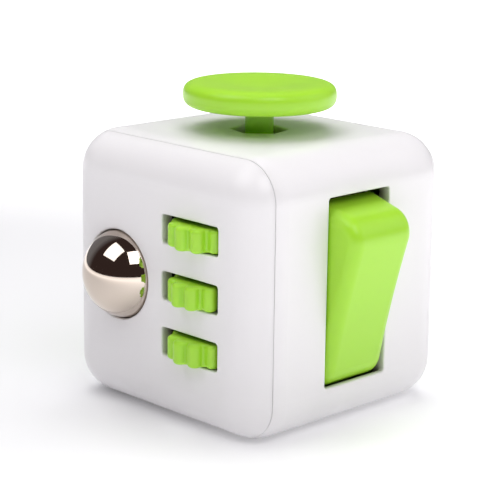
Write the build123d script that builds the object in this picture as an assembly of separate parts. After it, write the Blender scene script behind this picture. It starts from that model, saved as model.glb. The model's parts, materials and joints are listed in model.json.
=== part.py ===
from build123d import *
import math
import os

# A fidget cube: a two-piece snap-together case with a different toy on each face.
# Millimetres. The origin is the centre of the flat bottom face, +Z is up.
# Front (-Y): a rolling ball and three lobed wheels. Right (+X): a rocker.
# Top (+Z): a gliding thumb disc. Back (+Y): five push buttons. Left (-X): a dial.
# Bottom (-Z): a shallow thumb hollow in the face that the cube stands on.

# ---- Allowances ----
SUNK = 0.2  # how far a post or stem runs into what it grows from
PAST = 1.0  # how far a cutting shape runs past the face it cuts
PILOT_STOP = 0.2  # what a pilot hole leaves at the foot of its post
SCREW_END_GAP = 0.3  # how far a pilot hole runs beyond its screw
PIN_FIT = 0.02  # radial clearance round a pin that doesn't turn
RIM_MARGIN = 0.3  # how far from an opening its rim edges are looked for

# ---- Case ----
EDGE = 33.0
HALF = EDGE / 2
CORNER_R = 5.0
WALL = 1.6
INSIDE = HALF - WALL
SEAM = 13.3
SEAM_GAP = 0.07
TONGUE_T = 0.7
TONGUE_DEPTH = 1.2
TONGUE_CLEARANCE = 0.1
TONGUE_ROOT = 0.9
TONGUE_BITE = 0.01
BEAD_R = 0.4
BEAD_SINK = 0.05
BEAD_LENGTH = 9.0
BEAD_CLEARANCE = 0.1
OPENING_EDGE_R = 0.2
BOSS_R = 1.7
THUMB_HOLLOW_R = 8.5
THUMB_HOLLOW_DEPTH = 1.9
THUMB_HOLLOW_LIP_R = 1.2

# ---- Screws, all the same self-tapping size ----
SCREW_R = 0.8
SCREW_HOLE_R = 0.82
SCREW_CLEAR_R = 0.95
SCREW_HEAD_R = 1.5
SCREW_HEAD_H = 1.0
SCREW_HEAD_R_TOP = 0.4
SCREW_POINT = 0.4
SCREW_CROSS_L = 1.8
SCREW_CROSS_W = 0.4
SCREW_CROSS_DEPTH = 0.5

# ---- Front face: lobed wheels ----
WHEEL_X = 5.8
WHEEL_Z = (23.3, 16.6, 9.9)
WHEEL_PHASE = (-4.0, -14.0, -8.0)
WHEEL_LOBES = 11
WHEEL_TIP_R = 4.55
WHEEL_VALLEY_R = 3.75
WHEEL_LOBE_R = 0.85
WHEEL_T = 2.8
WHEEL_EDGE_R = 0.45
WHEEL_AXLE_DEPTH = 2.75
WHEEL_AXLE_Y = -HALF + WHEEL_AXLE_DEPTH
WHEEL_WINDOW_X = 5.67
WHEEL_WINDOW_RISE = 0.2
WHEEL_WINDOW_W = 9.36
WHEEL_WINDOW_H = 3.4
WHEEL_WINDOW_R = 0.4
AXLE_R = 0.75
RUNNING_GAP = 0.05
SPACER_R = 1.1
SPACER_END_GAP = 0.05
BRACKET_X = (2.9, 8.7)
BRACKET_Y = (-8.9, -7.7)
BRACKET_LUG_Z = ((6.5, 7.9), (25.7, 27.1))
BRACKET_FLANGE_Y = (-11.4, -10.2)
BRACKET_SCREW_Z = (4.4, 29.2)
BRACKET_SCREW_L = 4.0
BRACKET_FLANGE_END = 1.7
LUG_HALF_W = 1.5
LUG_TIP_R = 1.125

# ---- Front face: ball ----
BALL_X = -6.86
BALL_Z = 16.54
BALL_R = 5.5
BALL_DEPTH = 1.7
BALL_Y = -HALF + BALL_DEPTH
BALL_SEAT_R = 5.6
CUP_R = 6.5
CUP_Y = (-14.4, -8.3)
CUP_CLEARANCE = 0.2
CUP_CHAMFER = 1.2
CUP_NUB_R = 1.4
CUP_NUB_END = -7.6
BALL_DOME_R = 3.5
BALL_DOME_RISE = 0.5
BALL_DOME_T = 0.15
BALL_PLATE_Y = (-6.9, -5.7)
SLEEVE_R = (6.6, 7.6)
SLEEVE_START = -9.9
BALL_SCREWS = ((-12.6, 23.6), (-12.6, 9.7), (-1.5, 8.0))
BALL_SCREW_L = 5.0
BALL_POST_CLEARANCE = 0.1

# ---- Right face: rocker ----
ROCKER_X = 11.2
ROCKER_Z = 16.65
ROCKER_TILT = 14.4
ROCKER_W = 9.9
ROCKER_HALF_L = 10.85
ROCKER_FOOT_HALF_L = 11.05
ROCKER_END_R = 3.0
ROCKER_FRONT_MID = 7.4
ROCKER_FRONT_END = 7.6
ROCKER_FOOT = 0.6
ROCKER_SHELL_T = 1.3
ROCKER_EDGE_R = 1.4
ROCKER_HUB_R = 2.3
ROCKER_NOSE_R = 0.8
ROCKER_NOSE_REACH = 3.6
ROCKER_NOSE_W = 4.0
ROCKER_WINDOW_W = 10.2
ROCKER_WINDOW_HALF_L = 11.25
ROCKER_WINDOW_R = 0.4
ROCKER_WINDOW_RELIEF = 1.0
PIN_R = 1.0
PIN_HALF_L = 6.8
CHEEK_Y = (5.4, 6.6)
CHEEK_R = 3.5
CHEEK_HOLE_R = 1.02
YOKE_BASE_X = (4.7, 5.9)
YOKE_BASE_HALF_Z = 7.0
YOKE_EAR_X = (10.2, 11.4)
YOKE_EAR_HALF_Z = 8.8
YOKE_SCREW_Y = 8.8
YOKE_SCREW_DZ = 7.0
YOKE_SCREW_L = 4.0
LEAF_W = 5.0
LEAF_T = 0.2
LEAF_REACH = 3.3
LEAF_VALLEY = 3.75
LEAF_VALLEY_Z = 0.9
LEAF_FOOT_Z = (4.2, 6.4)

# ---- Top face: gliding disc ----
GLIDE_CAP_R = 9.2
GLIDE_CAP_Z = (35.75, 38.7)
GLIDE_RIM_R = (1.2, 1.35)
GLIDE_DISH_R = 6.8
GLIDE_DISH_DEPTH = 0.55
GLIDE_DISH_SLOPE = 0.3
GLIDE_STEM_R = 1.725
GLIDE_STEM_ROOT_R = 0.6
GLIDE_HEX_R = 3.5
GLIDE_HEX_TURN = 45.0
GLIDE_STEM_FOOT = 28.7
GLIDE_FLANGE_R = 5.5
GLIDE_FLANGE_Z = (30.0, 31.3)
GLIDE_FLANGE_CHAMFER = 0.25
GLIDE_HUB_R = 2.6
GLIDE_HUB_FOOT = 26.1
GLIDE_TRAVEL = 0.9
WASHER_R = 6.0
WASHER_Z = (29.3, 29.9)
WASHER_FLAT = 5.8
WASHER_SLOT_SPARE = 0.1
RETAINER_HALF = 7.6
RETAINER_CORNER_R = 1.2
RETAINER_Z = (27.9, 29.2)
RETAINER_SCREW = 6.2
RETAINER_SCREW_L = 2.8
RETAINER_HOLE_R = 4.1
RETAINER_BOSS_R = 1.6
RAIL_HALF_L = 3.4
RAIL_Y = (5.87, 6.9)
RING_CUP_R = (5.8, 6.8)
RING_CUP_FOOT = 25.6
RING_Z = (26.3, 27.85)
RING_R = (2.65, 5.78)
KEEPER_R = 4.0
KEEPER_Z = (25.5, 26.1)
GLIDE_SCREW_L = 7.0

# ---- Back face: five buttons ----
BUTTON_PITCH = 7.0
BUTTON_Z = HALF
BUTTON_R = 2.75
BUTTON_HOLE_R = 2.9
BUTTON_FACE = HALF + 1.2
BUTTON_CROWN = 0.5
BUTTON_FLANGE_R = 3.3
BUTTON_FLANGE_Y = (13.2, 14.7)
BUTTON_STEM_R = 1.1
BUTTON_STEM_FOOT = 12.15
DOME_R = 1.95
DOME_TOP_R = 1.2
DOME_TOP = 12.1
DOME_WALL = 0.35
PAD_Y = (10.0, 10.5)
PAD_HALF = 9.0
PAD_HOLE_R = 1.9
CLICK_DISC_R = 1.25
CLICK_DISC_RISE = 0.35
CLICK_DISC_T = 0.15
BUTTON_PLATE_Y = (8.8, 10.0)
BUTTON_PLATE_CORNER_R = 1.5
BUTTON_SCREW_L = 4.6
BUTTON_PLACES = (
    (0, 0),
    (-BUTTON_PITCH, BUTTON_PITCH),
    (BUTTON_PITCH, BUTTON_PITCH),
    (-BUTTON_PITCH, -BUTTON_PITCH),
    (BUTTON_PITCH, -BUTTON_PITCH),
)
BUTTON_POSTS = (
    (0, BUTTON_PITCH),
    (0, -BUTTON_PITCH),
    (-BUTTON_PITCH, 0),
    (BUTTON_PITCH, 0),
)
CLICKING_PLACES = BUTTON_PLACES[:3]

# ---- Left face: dial ----
DIAL_Z = HALF
DIAL_R = 8.6
DIAL_X = (-17.9, -16.6)
DIAL_EDGE_R = 0.5
DIAL_DIMPLE_R = 4.2
DIAL_DIMPLE_DEPTH = 0.7
DIAL_DIMPLE_OFFSET = 4.6
DIAL_SPINDLE_R = 2.5
DIAL_HOLE_R = 2.56
DIAL_SPINDLE_END = -13.7
SPRING_WASHER_X = (-14.85, -14.35)
SPRING_WASHER_R = (2.7, 4.4)
SPRING_WASHER_T = 0.2
DIAL_KEEPER_X = (-13.7, -12.9)
DIAL_KEEPER_R = 4.6
DIAL_SCREW_L = 3.2

TURN_TO = {"X": Rot(0, 90, 0), "Y": Rot(-90, 0, 0), "Z": Rot(0, 0, 0)}


def block(x_range, y_range, z_range):
    """A box between two values on each axis."""
    size = [high - low for low, high in (x_range, y_range, z_range)]
    centre = [(low + high) / 2 for low, high in (x_range, y_range, z_range)]
    return Pos(*centre) * Box(*size)


def rod(axis, across, span, radius):
    """A round rod along one axis; `across` holds its other two coordinates in X, Y, Z order."""
    centre = list(across)
    centre.insert("XYZ".index(axis), (span[0] + span[1]) / 2)
    return Pos(*centre) * TURN_TO[axis] * Cylinder(radius, span[1] - span[0])


def tube(axis, across, span, inner_r, outer_r):
    """A round tube along one axis."""
    return rod(axis, across, span, outer_r) - rod(axis, across, span, inner_r)


def rounded_cube(inset):
    """The case's outer form, moved in by `inset` all over."""
    side = EDGE - 2 * inset
    cube = Box(side, side, side)
    return Pos(0, 0, HALF) * fillet(cube.edges(), CORNER_R - inset)


def spread(shapes):
    """Several solids of one kind, kept apart as one group."""
    return Compound(children=[solid for shape in shapes for solid in shape.solids()])


def screw(length):
    """A pan-head screw: the head stands on z=0 and the shank goes down."""
    head = Pos(0, 0, SCREW_HEAD_H / 2) * Cylinder(SCREW_HEAD_R, SCREW_HEAD_H)
    head = fillet(head.edges().group_by(Axis.Z)[-1], SCREW_HEAD_R_TOP)
    shank = Pos(0, 0, -length / 2) * Cylinder(SCREW_R, length)
    shank = chamfer(shank.edges().group_by(Axis.Z)[0], SCREW_POINT)
    cross_z = SCREW_HEAD_H - SCREW_CROSS_DEPTH / 2
    cross = Box(SCREW_CROSS_L, SCREW_CROSS_W, SCREW_CROSS_DEPTH)
    cross += Box(SCREW_CROSS_W, SCREW_CROSS_L, SCREW_CROSS_DEPTH)
    return head + shank - Pos(0, 0, cross_z) * cross


def screws(length, heads, outward):
    """The same screw at several places; `outward` points from shank to head."""
    return spread([Plane(origin=place, z_dir=outward).location * screw(length) for place in heads])


def soften_opening(shell, axis, level, centre, half_size):
    """Round the outer rim of an opening: the edges on one face that lie round its centre."""
    reach = [half + RIM_MARGIN for half in half_size]
    rim = []
    for edge in shell.edges():
        box = edge.bounding_box()
        low = [box.min.X, box.min.Y, box.min.Z]
        high = [box.max.X, box.max.Y, box.max.Z]
        flat = abs(low[axis] - level) < 0.01 and abs(high[axis] - level) < 0.01
        others = [i for i in range(3) if i != axis]
        near = all(
            low[i] > centre[i] - reach[i] and high[i] < centre[i] + reach[i] for i in others
        )
        if flat and near:
            rim.append(edge)
    return fillet(rim, OPENING_EDGE_R)


# ---- Case ----


def mirrored_y(shape):
    """A shape together with its mirror image across the XZ plane."""
    return shape + mirror(shape, about=Plane.XZ)


def snap_beads(radius):
    """Ribs on the tongues' left, right and top, near the end of each tongue."""
    y = SEAM - TONGUE_DEPTH / 2
    level = INSIDE - TONGUE_CLEARANCE - BEAD_SINK
    span = (-BEAD_LENGTH / 2, BEAD_LENGTH / 2)
    upright = (HALF + span[0], HALF + span[1])
    beads = rod("Z", (-level, y), upright, radius)
    beads += rod("Z", (level, y), upright, radius)
    beads += rod("X", (y, HALF + level), span, radius)
    return mirrored_y(beads)


def case_walls():
    """The hollow cube that the two shells are parted from."""
    walls = rounded_cube(0) - rounded_cube(WALL)
    ball_radius = (THUMB_HOLLOW_R**2 + THUMB_HOLLOW_DEPTH**2) / (2 * THUMB_HOLLOW_DEPTH)
    ball_centre = Pos(0, 0, THUMB_HOLLOW_DEPTH - ball_radius)
    above_floor = block((-HALF, HALF), (-HALF, HALF), (WALL / 2, HALF))
    walls += ball_centre * Sphere(ball_radius + WALL) & above_floor
    walls -= ball_centre * Sphere(ball_radius)
    rim = walls.edges().filter_by(GeomType.CIRCLE).filter_by_position(Axis.Z, -0.01, 0.01)
    rim = [edge for edge in rim if abs(edge.radius - THUMB_HOLLOW_R) < 0.01]
    return fillet(rim, THUMB_HOLLOW_LIP_R)


def cradle_shell():
    """Front, bottom and back in one U, with the tongues that the saddle slides over."""
    across = (-EDGE, EDGE)
    up = (-PAST, EDGE + PAST)
    front = block(across, (-EDGE, -SEAM - SEAM_GAP / 2), up)
    floor_half = SEAM - SEAM_GAP / 2
    floor = block((-floor_half, floor_half), (-SEAM - PAST, SEAM + PAST), (-PAST, HALF))
    shell = case_walls() & (mirrored_y(front) + floor)

    tongue_end = SEAM - TONGUE_DEPTH
    ring = rounded_cube(WALL - TONGUE_BITE) - rounded_cube(WALL + TONGUE_T)
    slab = block(across, (-SEAM - TONGUE_ROOT, -tongue_end), up)
    relief = rounded_cube(WALL - TONGUE_CLEARANCE) - rounded_cube(WALL + TONGUE_CLEARANCE)
    relief &= block(across, (-SEAM - SEAM_GAP / 2, SEAM + SEAM_GAP / 2), up)
    relief -= floor
    shell += (ring & mirrored_y(slab)) - relief
    shell += snap_beads(BEAD_R)

    root_front = -INSIDE - SUNK
    for z in BRACKET_SCREW_Z:
        shell += rod("Y", (WHEEL_X, z), (root_front, BRACKET_FLANGE_Y[0]), BOSS_R)
    for x, z in BALL_SCREWS:
        shell += rod("Y", (x, z), (root_front, BALL_PLATE_Y[0]), BOSS_R)
    for dx, dz in BUTTON_POSTS:
        shell += rod("Y", (dx, BUTTON_Z + dz), (PAD_Y[0], INSIDE + SUNK), BOSS_R)
    pilot_front = -INSIDE + PILOT_STOP
    for z in BRACKET_SCREW_Z:
        shell -= rod("Y", (WHEEL_X, z), (pilot_front, BRACKET_FLANGE_Y[0]), SCREW_HOLE_R)
    for x, z in BALL_SCREWS:
        shell -= rod("Y", (x, z), (pilot_front, BALL_PLATE_Y[0]), SCREW_HOLE_R)
    for dx, dz in BUTTON_POSTS:
        shell -= rod("Y", (dx, BUTTON_Z + dz), (PAD_Y[0], INSIDE - PILOT_STOP), SCREW_HOLE_R)
    shell &= rounded_cube(0)

    cup_room = (CUP_Y[0] - CUP_CLEARANCE, -SEAM + TONGUE_DEPTH)
    shell -= rod("Y", (BALL_X, BALL_Z), cup_room, CUP_R + CUP_CLEARANCE)
    shell -= Pos(BALL_X, BALL_Y, BALL_Z) * Sphere(BALL_SEAT_R)
    window = Box(WHEEL_WINDOW_W, 2 * WALL, WHEEL_WINDOW_H)
    window = fillet(window.edges().filter_by(Axis.Y), WHEEL_WINDOW_R)
    window_places = [(WHEEL_WINDOW_X, -HALF, z + WHEEL_WINDOW_RISE) for z in WHEEL_Z]
    for place in window_places:
        shell -= Pos(*place) * window
    for dx, dz in BUTTON_PLACES:
        shell -= rod("Y", (dx, BUTTON_Z + dz), (INSIDE - SUNK, HALF + PAST), BUTTON_HOLE_R)
    ball_half = (BALL_SEAT_R, 0, BALL_SEAT_R)
    shell = soften_opening(shell, 1, -HALF, (BALL_X, 0, BALL_Z), ball_half)
    window_half = (WHEEL_WINDOW_W / 2, 0, WHEEL_WINDOW_H / 2)
    for place in window_places:
        shell = soften_opening(shell, 1, -HALF, place, window_half)
    button_half = (BUTTON_HOLE_R, 0, BUTTON_HOLE_R)
    for dx, dz in BUTTON_PLACES:
        shell = soften_opening(shell, 1, HALF, (dx, 0, BUTTON_Z + dz), button_half)
    return shell


def saddle_shell():
    """Right, top and left in one U, standing between the cradle's front and back."""
    across = (-EDGE, EDGE)
    between = SEAM - SEAM_GAP / 2
    middle = block(across, (-between, between), (-PAST, EDGE + PAST))
    floor_half = SEAM + SEAM_GAP / 2
    floor = block((-floor_half, floor_half), across, (-PAST, HALF))
    shell = case_walls() & (middle - floor)
    shell -= snap_beads(BEAD_R + BEAD_CLEARANCE)

    for side in (-1, 1):
        for dz in (-YOKE_SCREW_DZ, YOKE_SCREW_DZ):
            place = (side * YOKE_SCREW_Y, ROCKER_Z + dz)
            shell += rod("X", place, (YOKE_EAR_X[1], INSIDE + SUNK), BOSS_R)
            shell -= rod("X", place, (YOKE_EAR_X[1], INSIDE - PILOT_STOP), SCREW_HOLE_R)
        for other in (-1, 1):
            place = (side * RETAINER_SCREW, other * RETAINER_SCREW)
            shell += rod("Z", place, (RETAINER_Z[1], HALF + INSIDE + SUNK), RETAINER_BOSS_R)
            shell -= rod("Z", place, (RETAINER_Z[1], HALF + INSIDE - PILOT_STOP), SCREW_HOLE_R)

    window = Box(2 * WALL, ROCKER_WINDOW_W, 2 * ROCKER_WINDOW_HALF_L)
    window = fillet(window.edges().filter_by(Axis.X), ROCKER_WINDOW_R)
    shell -= Pos(HALF, 0, ROCKER_Z) * window
    relief_side = ROCKER_WINDOW_RELIEF * math.sqrt(2)
    for side in (-1, 1):
        corner = ROCKER_Z + side * ROCKER_WINDOW_HALF_L
        relief = Pos(INSIDE, 0, corner) * Rot(0, 45, 0)
        shell -= relief * Box(relief_side, ROCKER_WINDOW_W, relief_side)
    hexagon = extrude(RegularPolygon(GLIDE_HEX_R, 6, rotation=GLIDE_HEX_TURN), 4 * WALL)
    shell -= Pos(0, 0, EDGE - 2 * WALL) * hexagon
    shell -= rod("X", (0, DIAL_Z), (-HALF - PAST, -INSIDE + SUNK), DIAL_HOLE_R)
    rocker_half = (0, ROCKER_WINDOW_W / 2, ROCKER_WINDOW_HALF_L)
    shell = soften_opening(shell, 0, HALF, (0, 0, ROCKER_Z), rocker_half)
    shell = soften_opening(shell, 2, EDGE, (0, 0, 0), (GLIDE_HEX_R, GLIDE_HEX_R, 0))
    return shell


# ---- Front face: lobed wheels ----


def wheel(z, phase):
    """Round lobes joined by round hollows; each arc runs smoothly into the next."""
    half_pitch = math.pi / WHEEL_LOBES
    lobe_r = WHEEL_LOBE_R
    lobe_centre = WHEEL_TIP_R - lobe_r
    short = lobe_r - WHEEL_VALLEY_R
    hollow_centre = (lobe_centre**2 - short**2) / (2 * (lobe_centre * math.cos(half_pitch) + short))
    hollow_r = hollow_centre - WHEEL_VALLEY_R

    def polar(radius, angle):
        return Vector(radius * math.cos(angle), radius * math.sin(angle))

    outline = []
    first = math.radians(phase - 90)
    share = lobe_r / (lobe_r + hollow_r)
    for index in range(WHEEL_LOBES):
        angle = first + 2 * half_pitch * index
        lobe = polar(lobe_centre, angle)
        before = polar(hollow_centre, angle - half_pitch)
        after = polar(hollow_centre, angle + half_pitch)
        next_lobe = polar(lobe_centre, angle + 2 * half_pitch)
        start = lobe + (before - lobe) * share
        end = lobe + (after - lobe) * share
        next_start = next_lobe + (after - next_lobe) * share
        outline.append(ThreePointArc(start, polar(WHEEL_TIP_R, angle), end))
        outline.append(ThreePointArc(end, polar(WHEEL_VALLEY_R, angle + half_pitch), next_start))
    body = extrude(make_face(outline), WHEEL_T)
    rims = body.edges().group_by(Axis.Z)
    body = fillet(rims[0] + rims[-1], WHEEL_EDGE_R)
    body -= Pos(0, 0, WHEEL_T / 2) * Cylinder(AXLE_R + RUNNING_GAP, 2 * WHEEL_T)
    return Pos(WHEEL_X, WHEEL_AXLE_Y, z - WHEEL_T / 2) * body


def wheel_axle():
    """One steel pin through all three wheels."""
    return rod("Z", (WHEEL_X, WHEEL_AXLE_Y), (BRACKET_LUG_Z[0][0], BRACKET_LUG_Z[1][1]), AXLE_R)


def wheel_spacers():
    """Two sleeves that hold the wheels a pitch apart."""
    sleeves = []
    for upper, lower in zip(WHEEL_Z, WHEEL_Z[1:]):
        span = (lower + WHEEL_T / 2 + SPACER_END_GAP, upper - WHEEL_T / 2 - SPACER_END_GAP)
        sleeves.append(tube("Z", (WHEEL_X, WHEEL_AXLE_Y), span, AXLE_R + PIN_FIT, SPACER_R))
    return spread(sleeves)


def wheel_washers():
    """Two short washers between the outer wheels and the bracket's lugs."""
    top = (WHEEL_Z[0] + WHEEL_T / 2 + SPACER_END_GAP, BRACKET_LUG_Z[1][0])
    bottom = (BRACKET_LUG_Z[0][1], WHEEL_Z[-1] - WHEEL_T / 2 - SPACER_END_GAP)
    across = (WHEEL_X, WHEEL_AXLE_Y)
    return spread([tube("Z", across, span, AXLE_R + PIN_FIT, SPACER_R) for span in (top, bottom)])


def wheel_bracket():
    """A bridge behind the wheels, with a lug for each end of the axle and two screw flanges."""
    low, high = BRACKET_LUG_Z
    bracket = block(BRACKET_X, BRACKET_Y, (low[0], high[1]))
    for span in BRACKET_LUG_Z:
        lug = block((WHEEL_X - LUG_HALF_W, WHEEL_X + LUG_HALF_W), (WHEEL_AXLE_Y, BRACKET_Y[1]), span)
        lug += rod("Z", (WHEEL_X, WHEEL_AXLE_Y), span, LUG_TIP_R)
        lug += block(BRACKET_X, (BRACKET_FLANGE_Y[0], BRACKET_Y[1]), span)
        bracket += lug
    bracket += block(BRACKET_X, BRACKET_FLANGE_Y, (BRACKET_SCREW_Z[0] - BRACKET_FLANGE_END, low[1]))
    bracket += block(BRACKET_X, BRACKET_FLANGE_Y, (high[0], BRACKET_SCREW_Z[1] + BRACKET_FLANGE_END))
    bracket -= rod("Z", (WHEEL_X, WHEEL_AXLE_Y), (low[0] - PAST, high[1] + PAST), AXLE_R + PIN_FIT)
    flange = (BRACKET_FLANGE_Y[0] - PAST, BRACKET_FLANGE_Y[1] + PAST)
    for z in BRACKET_SCREW_Z:
        bracket -= rod("Y", (WHEEL_X, z), flange, SCREW_CLEAR_R)
    return bracket


def wheel_bracket_screws():
    """Two screws from inside into the front wall's posts."""
    heads = [(WHEEL_X, BRACKET_FLANGE_Y[1], z) for z in BRACKET_SCREW_Z]
    return screws(BRACKET_SCREW_L, heads, (0, 1, 0))


# ---- Front face: ball ----


def ball():
    """The polished ball; the front wall's lip is smaller than the ball and keeps it in."""
    return Pos(BALL_X, BALL_Y, BALL_Z) * Sphere(BALL_R)


def ball_cup():
    """A cup that the ball turns in; it slides back when the ball is pressed."""
    cup = rod("Y", (BALL_X, BALL_Z), CUP_Y, CUP_R)
    cup = chamfer(cup.edges().group_by(Axis.Y)[-1], CUP_CHAMFER)
    cup += rod("Y", (BALL_X, BALL_Z), (CUP_Y[1] - SUNK, CUP_NUB_END), CUP_NUB_R)
    return cup - Pos(BALL_X, BALL_Y, BALL_Z) * Sphere(BALL_SEAT_R)


def ball_dome():
    """A domed spring-steel disc that clicks under the cup's nub."""
    rim_y = BALL_PLATE_Y[0]
    radius = (BALL_DOME_R**2 + BALL_DOME_RISE**2) / (2 * BALL_DOME_RISE)
    centre = Pos(BALL_X, rim_y - BALL_DOME_RISE + radius, BALL_Z)
    skin = centre * Sphere(radius) - centre * Sphere(radius - BALL_DOME_T)
    return skin & rod("Y", (BALL_X, BALL_Z), (rim_y - BALL_DOME_RISE - PAST, rim_y), BALL_DOME_R)


def ball_plate():
    """The plate behind the ball, with a sleeve that guides the cup and three screw ears."""
    plate = rod("Y", (BALL_X, BALL_Z), BALL_PLATE_Y, SLEEVE_R[1])
    plate += tube("Y", (BALL_X, BALL_Z), (SLEEVE_START, BALL_PLATE_Y[1]), *SLEEVE_R)
    for x, z in BALL_SCREWS:
        ear = rod("Y", (x, z), BALL_PLATE_Y, BOSS_R)
        away = Vector(x - BALL_X, 0, z - BALL_Z)
        angle = math.degrees(math.atan2(away.Z, away.X))
        middle = Pos(BALL_X, sum(BALL_PLATE_Y) / 2, BALL_Z) * Rot(0, -angle, 0)
        arm = Box(away.length, BALL_PLATE_Y[1] - BALL_PLATE_Y[0], 2 * BOSS_R)
        plate += ear + middle * Pos(away.length / 2, 0, 0) * arm
        plate -= rod("Y", (x, z), (SLEEVE_START - PAST, BALL_PLATE_Y[0]), BOSS_R + BALL_POST_CLEARANCE)
        plate -= rod("Y", (x, z), (BALL_PLATE_Y[0] - PAST, BALL_PLATE_Y[1] + PAST), SCREW_CLEAR_R)
    return plate


def ball_plate_screws():
    """Three screws from inside into the front wall's long posts."""
    heads = [(x, BALL_PLATE_Y[1], z) for x, z in BALL_SCREWS]
    return screws(BALL_SCREW_L, heads, (0, 1, 0))


# ---- Right face: rocker ----


def rocker_side(inset, foot):
    """The rocker's side outline: a slightly hollow front between two rounded, drafted ends."""
    front_mid = ROCKER_FRONT_MID - inset
    front_end = ROCKER_FRONT_END - inset
    half_l = ROCKER_HALF_L - inset
    foot_half_l = ROCKER_FOOT_HALF_L - inset
    end_r = ROCKER_END_R - inset
    corner = front_end - end_r
    shoulder = half_l - end_r
    diagonal = end_r * math.sqrt(0.5)
    outline = [
        Line((foot, -foot_half_l), (corner, -half_l)),
        ThreePointArc((corner, -half_l), (corner + diagonal, -shoulder - diagonal), (front_end, -shoulder)),
        ThreePointArc((front_end, -shoulder), (front_mid, 0), (front_end, shoulder)),
        ThreePointArc((front_end, shoulder), (corner + diagonal, shoulder + diagonal), (corner, half_l)),
        Line((corner, half_l), (foot, foot_half_l)),
        Line((foot, foot_half_l), (foot, -foot_half_l)),
    ]
    return make_face(outline)


def rocker():
    """A hollow rocker on a cross hub, with a nose at the back that rides on the leaf spring."""
    body = extrude(rocker_side(0, ROCKER_FOOT), ROCKER_W / 2, both=True)
    side_levels = (-ROCKER_W / 2, ROCKER_W / 2)
    rims = []
    for edge in body.edges():
        box = edge.bounding_box()
        on_side = any(abs(box.min.Z - s) < 0.01 and abs(box.max.Z - s) < 0.01 for s in side_levels)
        if on_side and box.max.X > ROCKER_FOOT + 0.01:
            rims.append(edge)
    body = fillet(rims, ROCKER_EDGE_R)
    wall = ROCKER_SHELL_T
    body -= extrude(rocker_side(wall, ROCKER_FOOT - PAST), ROCKER_W / 2 - wall, both=True)
    body += Cylinder(ROCKER_HUB_R, ROCKER_W)
    nose_centre = ROCKER_NOSE_REACH - ROCKER_NOSE_R
    body += Pos(-nose_centre / 2, 0, 0) * Box(nose_centre, 2 * ROCKER_NOSE_R, ROCKER_NOSE_W)
    body += Pos(-nose_centre, 0, 0) * Cylinder(ROCKER_NOSE_R, ROCKER_NOSE_W)
    body -= Cylinder(PIN_R + RUNNING_GAP, 2 * ROCKER_W)
    upright = Rot(90, 0, 0) * body
    return Pos(ROCKER_X, 0, ROCKER_Z) * Rot(0, ROCKER_TILT, 0) * upright


def rocker_pin():
    """The steel pin that the rocker swings on."""
    return rod("Y", (ROCKER_X, ROCKER_Z), (-PIN_HALF_L, PIN_HALF_L), PIN_R)


def rocker_yoke():
    """A yoke behind the rocker: a base, two cheeks for the pin and two screw ears."""
    low = ROCKER_Z - YOKE_BASE_HALF_Z
    high = ROCKER_Z + YOKE_BASE_HALF_Z
    yoke = block(YOKE_BASE_X, (-CHEEK_Y[1], CHEEK_Y[1]), (low, high))
    ear_z = (ROCKER_Z - YOKE_EAR_HALF_Z, ROCKER_Z + YOKE_EAR_HALF_Z)
    cheek = block((YOKE_BASE_X[0], ROCKER_X), CHEEK_Y, (ROCKER_Z - CHEEK_R, ROCKER_Z + CHEEK_R))
    cheek += rod("Y", (ROCKER_X, ROCKER_Z), CHEEK_Y, CHEEK_R)
    cheek += block(YOKE_EAR_X, (CHEEK_Y[0], YOKE_SCREW_Y + BOSS_R), ear_z)
    ear = (YOKE_EAR_X[0] - PAST, YOKE_EAR_X[1] + PAST)
    for dz in (-YOKE_SCREW_DZ, YOKE_SCREW_DZ):
        cheek -= rod("X", (YOKE_SCREW_Y, ROCKER_Z + dz), ear, SCREW_CLEAR_R)
    yoke += mirrored_y(cheek)
    return yoke - rod("Y", (ROCKER_X, ROCKER_Z), (-CHEEK_Y[1] - PAST, CHEEK_Y[1] + PAST), CHEEK_HOLE_R)


def rocker_leaf():
    """A bent spring strip with a crest between two hollows, which snaps the rocker over."""
    base = YOKE_BASE_X[1] - ROCKER_X
    foot_in, foot_out = LEAF_FOOT_Z
    upper = [
        (base + LEAF_T, -foot_out),
        (base + LEAF_T, -foot_in),
        (-LEAF_VALLEY, -LEAF_VALLEY_Z),
        (-LEAF_REACH, 0),
        (-LEAF_VALLEY, LEAF_VALLEY_Z),
        (base + LEAF_T, foot_in),
        (base + LEAF_T, foot_out),
    ]
    lower = [(x - LEAF_T, z) for x, z in reversed(upper)]
    strip = extrude(Polygon(*upper, *lower, align=None), LEAF_W / 2, both=True)
    return Pos(ROCKER_X, 0, ROCKER_Z) * Rot(90, 0, 0) * strip


def rocker_yoke_screws():
    """Four screws from inside into the right wall's posts."""
    heads = [
        (YOKE_EAR_X[0], side * YOKE_SCREW_Y, ROCKER_Z + dz)
        for side in (-1, 1)
        for dz in (-YOKE_SCREW_DZ, YOKE_SCREW_DZ)
    ]
    return screws(YOKE_SCREW_L, heads, (-1, 0, 0))


# ---- Top face: gliding disc ----


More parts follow.
